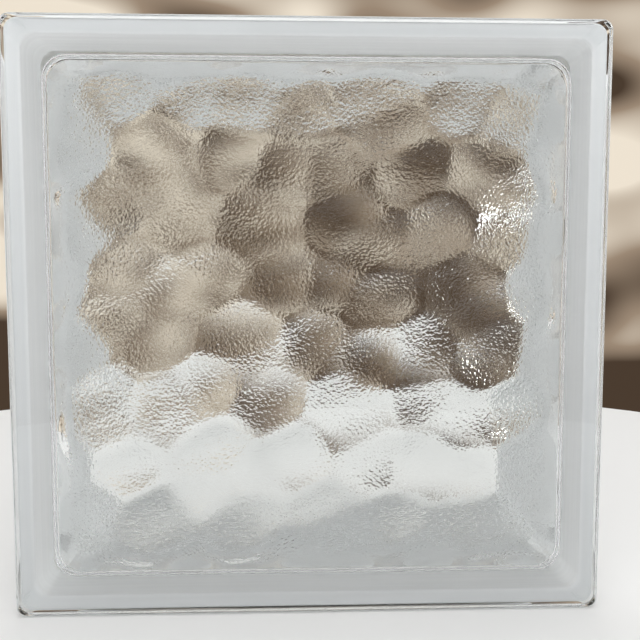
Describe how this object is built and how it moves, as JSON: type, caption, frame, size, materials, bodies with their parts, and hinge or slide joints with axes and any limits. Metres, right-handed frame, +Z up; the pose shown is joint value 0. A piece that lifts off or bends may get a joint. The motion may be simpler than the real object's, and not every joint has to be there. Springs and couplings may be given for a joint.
{
  "type": "glass block",
  "caption": "Hollow square glass building block with wavy inner faces, a clear rim and milky white mortar channels.",
  "frame": {"origin": "middle of the underside of the block as it stands on an edge", "axes": "front face looks to -Y, +X to the right seen from the front, +Z up"},
  "size_m": [0.19, 0.08, 0.19],
  "materials": {
    "clear_glass": "polished",
    "white_coat": "matte"
  },
  "bodies": {
    "root": {"front_shell": "clear_glass", "back_shell": "clear_glass", "edge_coating": "white_coat"}
  },
  "joints": []
}
